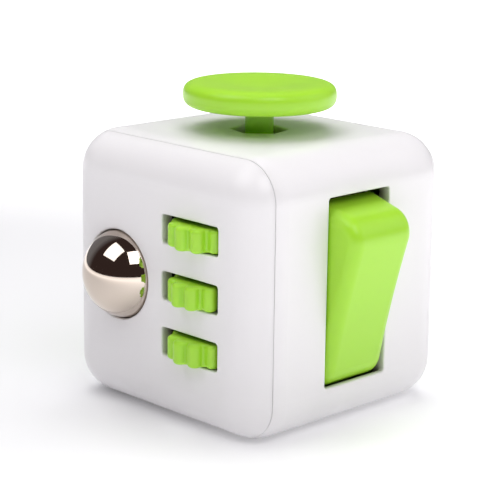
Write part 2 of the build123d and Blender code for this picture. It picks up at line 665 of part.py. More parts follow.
def glide_cap():
    """The thumb disc: a straight flank between two round edges, a shallow dish on top and a stem below."""
    low, high = GLIDE_CAP_Z
    under_r, top_r = GLIDE_RIM_R
    dish_floor = high - GLIDE_DISH_DEPTH
    flank_foot = (GLIDE_CAP_R, low + under_r)
    flank_top = (GLIDE_CAP_R, high - top_r)
    crest = (GLIDE_CAP_R - top_r, high)
    outline = [
        Line((0, low), (GLIDE_CAP_R - under_r, low)),
        RadiusArc((GLIDE_CAP_R - under_r, low), flank_foot, -under_r),
        Line(flank_foot, flank_top),
        RadiusArc(flank_top, crest, -top_r),
        Line(crest, (GLIDE_DISH_R, high)),
        Spline((GLIDE_DISH_R, high), (0, dish_floor), tangents=((-1, -GLIDE_DISH_SLOPE), (-1, 0))),
        Line((0, dish_floor), (0, low)),
    ]
    cap = revolve(Plane.XZ * make_face(outline), Axis.Z)
    stem = rod("Z", (0, 0), (GLIDE_STEM_FOOT, low + under_r), GLIDE_STEM_R)
    cap += stem
    root = [
        edge
        for edge in cap.edges().filter_by(GeomType.CIRCLE)
        if abs(edge.radius - GLIDE_STEM_R) < 0.01 and abs(edge.center().Z - low) < 0.01
    ]
    cap = fillet(root, GLIDE_STEM_ROOT_R)
    screw_top = KEEPER_Z[0] + GLIDE_SCREW_L + SCREW_END_GAP
    return cap - rod("Z", (0, 0), (GLIDE_STEM_FOOT, screw_top), SCREW_HOLE_R)


def glide_slider():
    """The flange that slides under the top wall, on a hub that the stem is screwed into."""
    slider = rod("Z", (0, 0), GLIDE_FLANGE_Z, GLIDE_FLANGE_R)
    slider = chamfer(slider.edges(), GLIDE_FLANGE_CHAMFER)
    slider += rod("Z", (0, 0), (GLIDE_HUB_FOOT, GLIDE_FLANGE_Z[0] + SUNK), GLIDE_HUB_R)
    slider -= rod("Z", (0, 0), (GLIDE_STEM_FOOT, GLIDE_FLANGE_Z[1] + PAST), GLIDE_STEM_R + PIN_FIT)
    return slider - rod("Z", (0, 0), (GLIDE_HUB_FOOT - PAST, GLIDE_STEM_FOOT), SCREW_CLEAR_R)


def glide_washer():
    """A slippery washer under the flange: it slides along X, and its slot lets the hub go along Y."""
    washer = rod("Z", (0, 0), WASHER_Z, WASHER_R)
    washer &= block((-WASHER_R, WASHER_R), (-WASHER_FLAT, WASHER_FLAT), WASHER_Z)
    slot_r = GLIDE_HUB_R + RUNNING_GAP
    reach = GLIDE_TRAVEL + WASHER_SLOT_SPARE
    slot = block((-slot_r, slot_r), (-reach, reach), WASHER_Z)
    slot += rod("Z", (0, reach), WASHER_Z, slot_r)
    slot += rod("Z", (0, -reach), WASHER_Z, slot_r)
    return washer - slot


def glide_retainer():
    """The plate that holds the slider up, with rails for the washer and a cup for the ring."""
    half = (-RETAINER_HALF, RETAINER_HALF)
    plate = block(half, half, RETAINER_Z)
    plate = fillet(plate.edges().filter_by(Axis.Z), RETAINER_CORNER_R)
    rail_z = (RETAINER_Z[1] - SUNK, WASHER_Z[1])
    plate += mirrored_y(block((-RAIL_HALF_L, RAIL_HALF_L), RAIL_Y, rail_z))
    plate += tube("Z", (0, 0), (RING_CUP_FOOT, RETAINER_Z[0] + SUNK), *RING_CUP_R)
    through = (RETAINER_Z[0] - PAST, RETAINER_Z[1] + PAST)
    plate -= rod("Z", (0, 0), through, RETAINER_HOLE_R)
    for x in (-RETAINER_SCREW, RETAINER_SCREW):
        for y in (-RETAINER_SCREW, RETAINER_SCREW):
            plate -= rod("Z", (x, y), through, SCREW_CLEAR_R)
    return plate


def centring_ring():
    """A soft ring round the hub that brings the disc back to the middle."""
    return tube("Z", (0, 0), RING_Z, *RING_R)


def glide_keeper():
    """A washer under the hub, held by the screw, that keeps the soft ring up."""
    return tube("Z", (0, 0), KEEPER_Z, SCREW_CLEAR_R, KEEPER_R)


def glide_screw():
    """The screw that ties keeper, slider and disc together."""
    return screws(GLIDE_SCREW_L, [(0, 0, KEEPER_Z[0])], (0, 0, -1))


def glide_retainer_screws():
    """Four short screws up into the top wall's posts."""
    heads = [
        (x, y, RETAINER_Z[0])
        for x in (-RETAINER_SCREW, RETAINER_SCREW)
        for y in (-RETAINER_SCREW, RETAINER_SCREW)
    ]
    return screws(RETAINER_SCREW_L, heads, (0, 0, -1))


# ---- Back face: buttons ----


def button(dx, dz):
    """One round button: a crowned head, a flange behind the wall and a stem for the dome."""
    place = (dx, BUTTON_Z + dz)
    head = rod("Y", place, (BUTTON_FLANGE_Y[0], BUTTON_FACE), BUTTON_R)
    head = fillet(head.edges().group_by(Axis.Y)[-1], BUTTON_CROWN)
    head += rod("Y", place, BUTTON_FLANGE_Y, BUTTON_FLANGE_R)
    return head + rod("Y", place, (BUTTON_STEM_FOOT, BUTTON_FLANGE_Y[0] + SUNK), BUTTON_STEM_R)


def dome_pad():
    """One moulded silicone sheet with a hollow dome under each button."""
    half = (-PAD_HALF, PAD_HALF)
    pad = Pos(0, 0, BUTTON_Z) * block(half, PAD_Y, half)
    pad = fillet(pad.edges().filter_by(Axis.Y), BUTTON_PLATE_CORNER_R)
    height = DOME_TOP - PAD_Y[0]
    outer = Cone(DOME_R, DOME_TOP_R, height)
    inner = Cone(DOME_R - DOME_WALL, DOME_TOP_R - DOME_WALL, height - 2 * DOME_WALL)
    for dx, dz in BUTTON_PLACES:
        place = Pos(dx, 0, BUTTON_Z + dz) * TURN_TO["Y"]
        pad += place * Pos(0, 0, PAD_Y[0] + height / 2) * outer
        pad -= place * Pos(0, 0, PAD_Y[0] + height / 2 - DOME_WALL) * inner
    for dx, dz in BUTTON_POSTS:
        pad -= rod("Y", (dx, BUTTON_Z + dz), (PAD_Y[0] - PAST, PAD_Y[1] + PAST), PAD_HOLE_R)
    return pad


def click_discs():
    """Small domed steel discs in three of the hollow domes, which make those buttons click."""
    discs = []
    radius = (CLICK_DISC_R**2 + CLICK_DISC_RISE**2) / (2 * CLICK_DISC_RISE)
    for dx, dz in CLICKING_PLACES:
        centre = Pos(dx, PAD_Y[0] + CLICK_DISC_RISE - radius, BUTTON_Z + dz)
        skin = centre * Sphere(radius) - centre * Sphere(radius - CLICK_DISC_T)
        discs.append(skin & rod("Y", (dx, BUTTON_Z + dz), (PAD_Y[0], PAD_Y[0] + PAST), CLICK_DISC_R))
    return spread(discs)


def button_plate():
    """The plate behind the pad."""
    half = (-PAD_HALF, PAD_HALF)
    plate = Pos(0, 0, BUTTON_Z) * block(half, BUTTON_PLATE_Y, half)
    plate = fillet(plate.edges().filter_by(Axis.Y), BUTTON_PLATE_CORNER_R)
    through = (BUTTON_PLATE_Y[0] - PAST, BUTTON_PLATE_Y[1] + PAST)
    for dx, dz in BUTTON_POSTS:
        plate -= rod("Y", (dx, BUTTON_Z + dz), through, SCREW_CLEAR_R)
    return plate


def button_plate_screws():
    """Four screws from inside into the back wall's posts."""
    heads = [(dx, BUTTON_PLATE_Y[0], BUTTON_Z + dz) for dx, dz in BUTTON_POSTS]
    return screws(BUTTON_SCREW_L, heads, (0, -1, 0))


# ---- Left face: dial ----


def dial():
    """A flat disc with an off-centre finger dimple, on a spindle through the wall."""
    disc = rod("X", (0, DIAL_Z), DIAL_X, DIAL_R)
    disc = fillet(disc.edges().group_by(Axis.X)[0], DIAL_EDGE_R)
    disc += rod("X", (0, DIAL_Z), (DIAL_X[1] - SUNK, DIAL_SPINDLE_END), DIAL_SPINDLE_R)
    dimple_r = (DIAL_DIMPLE_R**2 + DIAL_DIMPLE_DEPTH**2) / (2 * DIAL_DIMPLE_DEPTH)
    dimple_x = DIAL_X[0] + DIAL_DIMPLE_DEPTH - dimple_r
    disc -= Pos(dimple_x, 0, DIAL_Z + DIAL_DIMPLE_OFFSET) * Sphere(dimple_r)
    screw_end = DIAL_KEEPER_X[1] - DIAL_SCREW_L - SCREW_END_GAP
    return disc - rod("X", (0, DIAL_Z), (screw_end, DIAL_SPINDLE_END), SCREW_HOLE_R)


def dial_spring_washer():
    """A shallow cone of spring steel that gives the dial its drag."""
    low, high = SPRING_WASHER_X
    inner, outer = SPRING_WASHER_R
    outline = Polygon(
        (inner, low + SPRING_WASHER_T),
        (inner, low),
        (outer, high - SPRING_WASHER_T),
        (outer, high),
        align=None,
    )
    cone = revolve(Plane.XZ * outline, Axis.Z)
    return Pos(0, 0, DIAL_Z) * TURN_TO["X"] * cone


def dial_keeper():
    """The washer on the spindle's inner end that keeps the dial on."""
    return tube("X", (0, DIAL_Z), DIAL_KEEPER_X, SCREW_CLEAR_R, DIAL_KEEPER_R)


def dial_screw():
    """The screw in the spindle's end."""
    return screws(DIAL_SCREW_L, [(DIAL_KEEPER_X[1], 0, DIAL_Z)], (1, 0, 0))


def all_parts():
    """Every sub-part by its node name."""
    parts = {
        "cradle_shell": cradle_shell(),
        "saddle_shell": saddle_shell(),
        "wheel_axle": wheel_axle(),
        "wheel_spacers": wheel_spacers(),
        "wheel_washers": wheel_washers(),
        "wheel_bracket": wheel_bracket(),
        "wheel_bracket_screws": wheel_bracket_screws(),
        "ball": ball(),
        "ball_cup": ball_cup(),
        "ball_dome": ball_dome(),
        "ball_plate": ball_plate(),
        "ball_plate_screws": ball_plate_screws(),
        "rocker": rocker(),
        "rocker_pin": rocker_pin(),
        "rocker_yoke": rocker_yoke(),
        "rocker_leaf": rocker_leaf(),
        "rocker_yoke_screws": rocker_yoke_screws(),
        "glide_cap": glide_cap(),
        "glide_slider": glide_slider(),
        "glide_washer": glide_washer(),
        "glide_retainer": glide_retainer(),
        "glide_keeper": glide_keeper(),
        "glide_screw": glide_screw(),
        "glide_retainer_screws": glide_retainer_screws(),
        "centring_ring": centring_ring(),
        "dome_pad": dome_pad(),
        "click_discs": click_discs(),
        "button_plate": button_plate(),
        "button_plate_screws": button_plate_screws(),
        "dial": dial(),
        "dial_spring_washer": dial_spring_washer(),
        "dial_keeper": dial_keeper(),
        "dial_screw": dial_screw(),
    }
    for number, (z, phase) in enumerate(zip(WHEEL_Z, WHEEL_PHASE), start=1):
        parts[f"wheel_{number}"] = wheel(z, phase)
    for number, (dx, dz) in enumerate(BUTTON_PLACES, start=1):
        parts[f"button_{number}"] = button(dx, dz)
    return parts


os.makedirs("parts", exist_ok=True)
for name, shape in all_parts().items():
    export_step(shape, f"parts/{name}.step")
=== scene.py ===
import json
import math

import bpy
import numpy as np
from mathutils import Matrix, Vector


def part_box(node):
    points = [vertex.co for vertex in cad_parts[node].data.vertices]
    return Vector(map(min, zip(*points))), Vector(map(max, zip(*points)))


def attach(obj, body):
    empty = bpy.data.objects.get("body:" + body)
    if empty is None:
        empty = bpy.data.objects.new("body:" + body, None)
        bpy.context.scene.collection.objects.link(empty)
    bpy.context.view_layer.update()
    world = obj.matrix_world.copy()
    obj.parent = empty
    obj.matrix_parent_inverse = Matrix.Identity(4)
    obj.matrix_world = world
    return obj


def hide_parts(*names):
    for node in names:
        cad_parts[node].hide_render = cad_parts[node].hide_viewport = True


# A fidget cube on a pale table. Metres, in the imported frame: the cube stands on z=0, +Z up.

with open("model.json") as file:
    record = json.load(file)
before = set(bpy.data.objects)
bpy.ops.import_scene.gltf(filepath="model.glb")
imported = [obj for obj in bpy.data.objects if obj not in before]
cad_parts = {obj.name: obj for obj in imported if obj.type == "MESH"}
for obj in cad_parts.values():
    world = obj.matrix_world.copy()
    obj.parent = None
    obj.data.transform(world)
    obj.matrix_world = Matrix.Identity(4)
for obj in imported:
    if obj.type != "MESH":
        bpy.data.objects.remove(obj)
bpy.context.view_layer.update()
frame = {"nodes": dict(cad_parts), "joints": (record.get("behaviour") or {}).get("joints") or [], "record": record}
MM = 0.001
CASE_HALF = 16.5 * MM
CASE_CORNER_R = 5.0 * MM
WHITE = (1.0, 1.0, 1.0, 1.0)


# ---- Shader helpers ----


def new_material(name):
    """A node material with a Principled shader and nothing else; returns it, its node tree and the shader."""
    material = bpy.data.materials.new(name)
    material.use_nodes = True
    tree = material.node_tree
    tree.nodes.clear()
    shader = tree.nodes.new("ShaderNodeBsdfPrincipled")
    output = tree.nodes.new("ShaderNodeOutputMaterial")
    tree.links.new(shader.outputs["BSDF"], output.inputs["Surface"])
    return material, tree, shader


def math_node(tree, operation, first, second=None, clamp=False):
    """A Math node; each operand is a socket or a number."""
    node = tree.nodes.new("ShaderNodeMath")
    node.operation = operation
    node.use_clamp = clamp
    for index, value in enumerate((first, second)):
        if value is None:
            continue
        if isinstance(value, bpy.types.NodeSocket):
            tree.links.new(value, node.inputs[index])
        else:
            node.inputs[index].default_value = value
    return node.outputs[0]


def vector_node(tree, operation, first, second=None):
    """A Vector Math node; the first operand is a socket, the second a fixed vector."""
    node = tree.nodes.new("ShaderNodeVectorMath")
    node.operation = operation
    tree.links.new(first, node.inputs[0])
    if second is not None:
        node.inputs[1].default_value = second
    return node.outputs["Value" if operation in ("LENGTH", "DOT_PRODUCT") else "Vector"]


def tinted(tree, color, tint, share):
    """The colour multiplied by a tint, in as far as the share goes from 0 to 1."""
    node = tree.nodes.new("ShaderNodeMix")
    node.data_type = "RGBA"
    node.blend_type = "MULTIPLY"
    live = {socket.name: socket for socket in node.inputs if socket.enabled}
    live["B"].default_value = (*tint, 1.0)
    tree.links.new(share, live["Factor"])
    tree.links.new(color, live["A"])
    return next(socket for socket in node.outputs if socket.enabled)


def noise_node(tree, vector, scale, detail=2.0, roughness=0.5, distortion=0.0):
    """A Noise Texture's factor; the scale, a socket or a number, is in features per metre."""
    node = tree.nodes.new("ShaderNodeTexNoise")
    if isinstance(scale, bpy.types.NodeSocket):
        tree.links.new(scale, node.inputs["Scale"])
    else:
        node.inputs["Scale"].default_value = scale
    node.inputs["Detail"].default_value = detail
    node.inputs["Roughness"].default_value = roughness
    node.inputs["Distortion"].default_value = distortion
    tree.links.new(vector, node.inputs["Vector"])
    return node.outputs["Fac"]


def object_coords(tree):
    """Coordinates in metres that stay with the piece."""
    return tree.nodes.new("ShaderNodeTexCoord").outputs["Object"]


def new_group(name, inputs, outputs):
    """A node group and its two end nodes; inputs are (name, kind, default), outputs (name, kind)."""
    group = bpy.data.node_groups.new(name, "ShaderNodeTree")
    for title, kind, default in inputs:
        socket = group.interface.new_socket(title, in_out="INPUT", socket_type=kind)
        if default is not None:
            socket.default_value = default
    for title, kind in outputs:
        group.interface.new_socket(title, in_out="OUTPUT", socket_type=kind)
    start = group.nodes.new("NodeGroupInput")
    end = group.nodes.new("NodeGroupOutput")
    return group, start, end


def place_group(tree, group, values):
    """The group as a node of a material; each named input is given a value or a socket."""
    node = tree.nodes.new("ShaderNodeGroup")
    node.node_tree = group
    for title, value in values.items():
        if isinstance(value, bpy.types.NodeSocket):
            tree.links.new(value, node.inputs[title])
        else:
            node.inputs[title].default_value = value
    return node


def stretched(tree, vector, scale):
    """The coordinates stretched by a scale on each axis."""
    node = tree.nodes.new("ShaderNodeMapping")
    node.inputs["Scale"].default_value = scale
    tree.links.new(vector, node.inputs["Vector"])
    return node.outputs["Vector"]


# ---- Effects that several materials share ----


def moulded_skin():
    """Height of a moulded surface: long sink waves with a fine grain on top, both in metres."""
    group, start, end = new_group(
        "moulded_skin",
        [
            ("Vector", "NodeSocketVector", None),
            ("Wave Scale", "NodeSocketFloat", 180.0),
            ("Wave Height", "NodeSocketFloat", 0.01 * MM),
            ("Grain Scale", "NodeSocketFloat", 6000.0),
            ("Grain Height", "NodeSocketFloat", 0.001 * MM),
        ],
        [("Height", "NodeSocketFloat")],
    )
    vector = start.outputs["Vector"]
    waves = noise_node(group, vector, start.outputs["Wave Scale"], detail=1.0)
    grain = noise_node(group, vector, start.outputs["Grain Scale"], detail=3.0, roughness=0.6)
    wave_height = math_node(group, "MULTIPLY", waves, start.outputs["Wave Height"])
    grain_height = math_node(group, "MULTIPLY", grain, start.outputs["Grain Height"])
    total = math_node(group, "ADD", wave_height, grain_height)
    group.links.new(total, end.inputs["Height"])
    return group


SCUFF_STRETCHES = ((2600.0, 90.0, 700.0), (300.0, 2200.0, 120.0))
SCUFF_WANDER = 0.6
SCUFF_THINNESS = 60.0
PATCH_CONTRAST = 4.0


def handling_marks():
    """Masks of what hands leave: hairline scuffs in two directions, inside a few rubbed patches.

    A scuff is where stretched noise crosses its middle value: 1 - thinness x |noise - 0.5|, above zero.
    """
    group, start, end = new_group(
        "handling_marks",
        [
            ("Vector", "NodeSocketVector", None),
            ("Patch Scale", "NodeSocketFloat", 70.0),
            ("Amount", "NodeSocketFloat", 0.5),
        ],
        [("Scuffs", "NodeSocketFloat"), ("Rubbed", "NodeSocketFloat")],
    )
    vector = start.outputs["Vector"]
    scuffs = None
    for scale in SCUFF_STRETCHES:
        lines = noise_node(group, stretched(group, vector, scale), 1.0, detail=1.0, distortion=SCUFF_WANDER)
        off_middle = math_node(group, "ABSOLUTE", math_node(group, "SUBTRACT", lines, 0.5))
        fall = math_node(group, "MULTIPLY", off_middle, SCUFF_THINNESS)
        thin = math_node(group, "SUBTRACT", 1.0, fall, clamp=True)
        scuffs = thin if scuffs is None else math_node(group, "MAXIMUM", scuffs, thin)
    patches = noise_node(group, vector, start.outputs["Patch Scale"], detail=3.0, roughness=0.6)
    raised = math_node(group, "SUBTRACT", patches, 0.5)
    rubbed = math_node(group, "MULTIPLY", raised, PATCH_CONTRAST, clamp=True)
    rubbed = math_node(group, "MULTIPLY", rubbed, start.outputs["Amount"])
    group.links.new(math_node(group, "MULTIPLY", scuffs, rubbed), end.inputs["Scuffs"])
    group.links.new(rubbed, end.inputs["Rubbed"])
    return group


def tone_drift():
    """A colour whose brightness drifts slightly over the surface: colour x (1 + amount x (noise - 0.5))."""
    group, start, end = new_group(
        "tone_drift",
        [
            ("Vector", "NodeSocketVector", None),
            ("Color", "NodeSocketColor", (0.8, 0.8, 0.8, 1.0)),
            ("Scale", "NodeSocketFloat", 60.0),
            ("Amount", "NodeSocketFloat", 0.04),
        ],
        [("Color", "NodeSocketColor")],
    )
    drift = noise_node(group, start.outputs["Vector"], start.outputs["Scale"], detail=3.0)
    centred = math_node(group, "SUBTRACT", drift, 0.5)
    factor = math_node(group, "ADD", 1.0, math_node(group, "MULTIPLY", centred, start.outputs["Amount"]))
    scaled = group.nodes.new("ShaderNodeVectorMath")
    scaled.operation = "SCALE"
    group.links.new(start.outputs["Color"], scaled.inputs[0])
    group.links.new(factor, scaled.inputs["Scale"])
    group.links.new(scaled.outputs["Vector"], end.inputs["Color"])
    return group


def depth_in_case():
    """How far a point lies inside the cube's rounded outline, as a share of a given depth, from 0 to 1.

    With q = |point - middle| - (half edge - corner radius), the distance inside the outline is
    corner radius - length(q above zero) - (largest of q, where all are below zero).
    """
    group, start, end = new_group(
        "depth_in_case",
        [("Vector", "NodeSocketVector", None), ("Depth", "NodeSocketFloat", 0.001)],
        [("Share", "NodeSocketFloat")],
    )
    straight = CASE_HALF - CASE_CORNER_R
    centred = vector_node(group, "SUBTRACT", start.outputs["Vector"], (0, 0, CASE_HALF))
    beyond = vector_node(group, "SUBTRACT", vector_node(group, "ABSOLUTE", centred), (straight,) * 3)
    outside = vector_node(group, "LENGTH", vector_node(group, "MAXIMUM", beyond, (0, 0, 0)))
    parts = group.nodes.new("ShaderNodeSeparateXYZ")
    group.links.new(beyond, parts.inputs["Vector"])
    largest = math_node(group, "MAXIMUM", parts.outputs["X"], parts.outputs["Y"])
    largest = math_node(group, "MAXIMUM", largest, parts.outputs["Z"])
    inside = math_node(group, "MINIMUM", largest, 0.0)
    distance = math_node(group, "SUBTRACT", CASE_CORNER_R, math_node(group, "ADD", outside, inside))
    share = math_node(group, "DIVIDE", distance, start.outputs["Depth"], clamp=True)
    group.links.new(share, end.inputs["Share"])
    return group


SKIN = moulded_skin()
DEPTH = depth_in_case()
MARKS = handling_marks()
DRIFT = tone_drift()


def add_bump(tree, shader, height):
    """Feed a height in metres to the shader's normal."""
    bump = tree.nodes.new("ShaderNodeBump")
    bump.inputs["Strength"].default_value = 1.0
    bump.inputs["Distance"].default_value = 1.0
    tree.links.new(height, bump.inputs["Height"])
    tree.links.new(bump.outputs["Normal"], shader.inputs["Normal"])


# ---- Materials ----


def skin_values(wave_scale, wave_height, grain_scale, grain_height):
    """The values of a moulded skin: scales in features per metre, heights in metres."""
    return {
        "Wave Scale": wave_scale,
        "Wave Height": wave_height,
        "Grain Scale": grain_scale,
        "Grain Height": grain_height,
    }


# Depth below the cube's outline at which the painted shade in the openings is full.
PAINTED_SHADE_DEPTH = 1.2 * MM
RUBBED_DULLING = 0.08
SCUFF_DULLING = 0.12
SCUFF_DEPTH = 0.0015 * MM
PLASTIC_IOR = 1.53
PLASTIC_GLOW = 0.35


def moulded_plastic(name, color, roughness, glow_depth, skin, marks=0.5, drift=0.05, painted_shade=None):
    """Moulded plastic: drifting tone, sink waves and grain, scuffs that dull the gloss, light carried inside.

    A tint of painted shade that the colour takes on below the cube's outline, more with depth and in full
    from the given depth down, so it paints shade on the walls of the openings and leaves the faces clean.
    """
    material, tree, shader = new_material(name)
    vector = object_coords(tree)
    tone = place_group(tree, DRIFT, {"Vector": vector, "Color": (*color, 1.0), "Amount": drift})
    surface_color = tone.outputs["Color"]
    # Painted shade: the walls of the openings take on a dark tint, standing in for the shade that falls there.
    if painted_shade:
        depth = place_group(tree, DEPTH, {"Vector": vector, "Depth": PAINTED_SHADE_DEPTH})
        surface_color = tinted(tree, surface_color, painted_shade, depth.outputs["Share"])
    tree.links.new(surface_color, shader.inputs["Base Color"])
    worn = place_group(tree, MARKS, {"Vector": vector, "Amount": marks})
    dulled = math_node(tree, "MULTIPLY", worn.outputs["Rubbed"], RUBBED_DULLING)
    scuffed = math_node(tree, "MULTIPLY", worn.outputs["Scuffs"], SCUFF_DULLING)
    rough = math_node(tree, "ADD", math_node(tree, "ADD", dulled, scuffed), roughness)
    tree.links.new(rough, shader.inputs["Roughness"])
    surface = place_group(tree, SKIN, {"Vector": vector, **skin})
    cut = math_node(tree, "MULTIPLY", worn.outputs["Scuffs"], SCUFF_DEPTH)
    add_bump(tree, shader, math_node(tree, "SUBTRACT", surface.outputs["Height"], cut))
    shader.inputs["IOR"].default_value = PLASTIC_IOR
    if glow_depth:
        shader.inputs["Subsurface Weight"].default_value = PLASTIC_GLOW
        shader.inputs["Subsurface Radius"].default_value = (1.0, 1.0, 1.0)
        shader.inputs["Subsurface Scale"].default_value = glow_depth
    return material


def white_shell():
    """White ABS with a satin gloss, with painted shade on the walls of its openings."""
    return moulded_plastic(
        "white_shell",
        color=(0.86, 0.845, 0.865),
        roughness=0.3,
        glow_depth=0.6 * MM,
        skin=skin_values(160.0, 0.03 * MM, 9000.0, 0.0012 * MM),
        drift=0.03,
        # Tint of the painted shade on the walls of the openings.
        painted_shade=(0.42, 0.38, 0.36),
    )


def green_plastic():
    """Lime green ABS, a little less glossy than the shell."""
    return moulded_plastic(
        "green_plastic",
        color=(0.39, 0.745, 0.034),
        roughness=0.34,
        glow_depth=0.5 * MM,
        skin=skin_values(220.0, 0.02 * MM, 9000.0, 0.0008 * MM),
        drift=0.06,
    )


def inner_plastic():
    """Dark acetal of the hidden frames, with a spark-eroded grain; dark partly as the frames' own colour and
    partly as painted shade in the gaps between parts.
    """
    return moulded_plastic(
        "inner_plastic",
        color=(0.03, 0.03, 0.033),
        roughness=0.5,
        glow_depth=0.0,
        skin=skin_values(300.0, 0.01 * MM, 5000.0, 0.008 * MM),
        marks=0.2,
        drift=0.15,
    )


def slippery_plastic():
    """Waxy white washer plastic."""
    return moulded_plastic(
        "slippery_plastic",
        color=(0.78, 0.78, 0.75),
        roughness=0.45,
        glow_depth=0.5 * MM,
        skin=skin_values(300.0, 0.01 * MM, 4000.0, 0.003 * MM),
        marks=0.8,
    )


def silicone():
    """Milky silicone rubber with a dusty, matt skin."""
    return moulded_plastic(
        "silicone",
        color=(0.62, 0.63, 0.62),
        roughness=0.62,
        glow_depth=1.2 * MM,
        skin=skin_values(400.0, 0.02 * MM, 7000.0, 0.004 * MM),
        marks=0.9,
        drift=0.12,
    )


METAL_DRIFT = 0.06
METAL_ROUGH_LEAST = 0.75
METAL_ROUGH_SPREAD = 0.5
METAL_RUBBED_DULLING = 0.05


def metal(name, color, roughness, brush, marks, skin):
    """Metal with its working marks: brushing, stretched by a scale on each axis, and rubbing dull the gloss.

    Its roughness is the given one x (least + spread x noise), plus a little where it is rubbed.
    """
    material, tree, shader = new_material(name)
    vector = object_coords(tree)
    tone = place_group(tree, DRIFT, {"Vector": vector, "Color": (*color, 1.0), "Amount": METAL_DRIFT})
    tree.links.new(tone.outputs["Color"], shader.inputs["Base Color"])
    shader.inputs["Metallic"].default_value = 1.0
    worn = place_group(tree, MARKS, {"Vector": vector, "Amount": marks})
    lines = noise_node(tree, stretched(tree, vector, brush), 1.0)
    brushed = math_node(tree, "MULTIPLY", lines, METAL_ROUGH_SPREAD * roughness)
    rough = math_node(tree, "ADD", brushed, METAL_ROUGH_LEAST * roughness)
    dulled = math_node(tree, "MULTIPLY", worn.outputs["Rubbed"], METAL_RUBBED_DULLING)
    rough = math_node(tree, "ADD", rough, dulled)
    tree.links.new(rough, shader.inputs["Roughness"])
    surface = place_group(tree, SKIN, {"Vector": vector, **skin})
    add_bump(tree, shader, surface.outputs["Height"])
    return material


def polished_steel():
    """The ball's mirror polish, with the faint waviness and haze of tumbling."""
    return metal(
        "polished_steel",
        color=(0.62, 0.54, 0.47),
        roughness=0.05,
        brush=(900.0, 900.0, 900.0),
        marks=0.6,
        skin=skin_values(250.0, 0.004 * MM, 3000.0, 0.0001 * MM),
    )


def plated_steel():
    """Zinc-plated screws, pins and washers."""
    return metal(
        "steel",
        color=(0.56, 0.57, 0.58),
        roughness=0.32,
        brush=(300.0, 3000.0, 3000.0),
        marks=0.7,
        skin=skin_values(800.0, 0.003 * MM, 5000.0, 0.001 * MM),
    )


def spring_steel():
    """Blue-grey rolled strip."""
    return metal(
        "spring_steel",
        color=(0.42, 0.44, 0.47),
        roughness=0.25,
        brush=(4000.0, 4000.0, 200.0),
        marks=0.5,
        skin=skin_values(600.0, 0.002 * MM, 5000.0, 0.0005 * MM),
    )


MATERIALS = {
    "white_shell": white_shell(),
    "green_plastic": green_plastic(),
    "inner_plastic": inner_plastic(),
    "slippery_plastic": slippery_plastic(),
    "silicone": silicone(),
    "polished_steel": polished_steel(),
    "steel": plated_steel(),
    "spring_steel": spring_steel(),
}


def finish_cad_nodes():
    """Give every CAD node the material of its slot in the record."""
    for row in frame["record"]["subparts"]:
        node = frame["nodes"][row["node"]]
        node.data.materials.clear()
        node.data.materials.append(MATERIALS[row["material_slot"]])


finish_cad_nodes()


# ---- Surfaces ----

SHARP_EDGE = math.radians(40)


def grid_faces(rows, columns, wrap):
    """Quads of a grid whose columns close on themselves, and whose rows do too if wrapped."""
    row = np.arange(rows if wrap else rows - 1)[:, None]
    here = row * columns
    after = (row + 1) % rows * columns
    column = np.arange(columns)
    beside = (column + 1) % columns
    corners = (here + column, here + beside, after + beside, after + column)
    return np.stack(corners, axis=-1).reshape(-1, 4)


def ring_surface(grid):
    """Points, quads and no triangles of a ring-like skin: the grid (row, column, xyz) closes both ways."""
    rows, columns, _ = grid.shape
    return grid.reshape(-1, 3), grid_faces(rows, columns, wrap=True), np.empty((0, 3), dtype=int)


def capped_surface(grid):
    """Points, quads and triangles of a ball-like skin: the grid's first and last rows are a point each."""
    rows, columns, _ = grid.shape
    inner = grid[1:-1].reshape(-1, 3)
    points = np.vstack([inner, grid[0, 0], grid[-1, 0]])
    quads = grid_faces(rows - 2, columns, wrap=False)
    column = np.arange(columns)
    beside = (column + 1) % columns
    last = (rows - 3) * columns
    start = np.full(columns, len(inner))
    first_fan = np.stack([start, beside, column], axis=-1)
    last_fan = np.stack([start + 1, last + column, last + beside], axis=-1)
    return points, quads, np.vstack([first_fan, last_fan])


def faces_outward(points, *groups):
    """A list of all the faces, turned to face out.

    They face out if the pyramids from the origin to them add up to a positive volume.
    """
    volume = 0.0
    for faces in groups:
        for last in range(2, faces.shape[1]):
            side = np.cross(points[faces[:, last - 1]], points[faces[:, last]])
            volume += np.sum(points[faces[:, 0]] * side)
    way = 1 if volume > 0 else -1
    return [face for faces in groups for face in faces[:, ::way].tolist()]


def add_piece(name, surface, body, slot, node):
    """A smooth piece that stands for a CAD node, rides on its body and has its slot's finish."""
    mesh = bpy.data.meshes.new(name)
    mesh.from_pydata(surface[0], [], faces_outward(*surface))
    mesh.polygons.foreach_set("use_smooth", np.ones(len(mesh.polygons), dtype=bool))
    mesh.set_sharp_from_angle(angle=SHARP_EDGE)
    mesh.materials.append(MATERIALS[slot])
    mesh.update()
    piece = bpy.data.objects.new(name, mesh)
    bpy.context.scene.collection.objects.link(piece)
    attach(piece, body)
    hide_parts(node)


def turned(radius, height, columns):
    """A turned shape: each (radius, height) of a profile is carried round the upright axis."""
    angle = np.linspace(0, 2 * np.pi, columns, endpoint=False)
    x = radius[:, None] * np.cos(angle)
    y = radius[:, None] * np.sin(angle)
    z = np.broadcast_to(height[:, None], x.shape)
    return np.stack([x, y, z], axis=-1)


def arc(centre, radius, start, end, count, power=2.0):
    """Points (across, up) on an arc: centre + radius, or radii, x (cos, sin) of an angle in degrees.

    A power over 2 squares the arc up, as |cos|^(2/power) and |sin|^(2/power) with their signs kept.
    """
    angle = np.radians(np.linspace(start, end, count))
    swing = np.stack([np.cos(angle), np.sin(angle)], axis=-1)
    return np.array(centre) + np.broadcast_to(radius, 2) * np.sign(swing) * np.abs(swing) ** (2 / power)


def middle_and_half(node):
    """The centre and half size of a CAD node's box, in metres."""
    low, high = (np.array(corner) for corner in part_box(node))
    return (low + high) / 2, (high - low) / 2


def joint_place(name):
    """A point on a hinge's axis, in metres."""
    return next(np.array(joint["pos_m"]) for joint in frame["joints"] if joint["name"] == name)


# ---- Ball ----

BALL_ROWS = 97
BALL_COLUMNS = 192


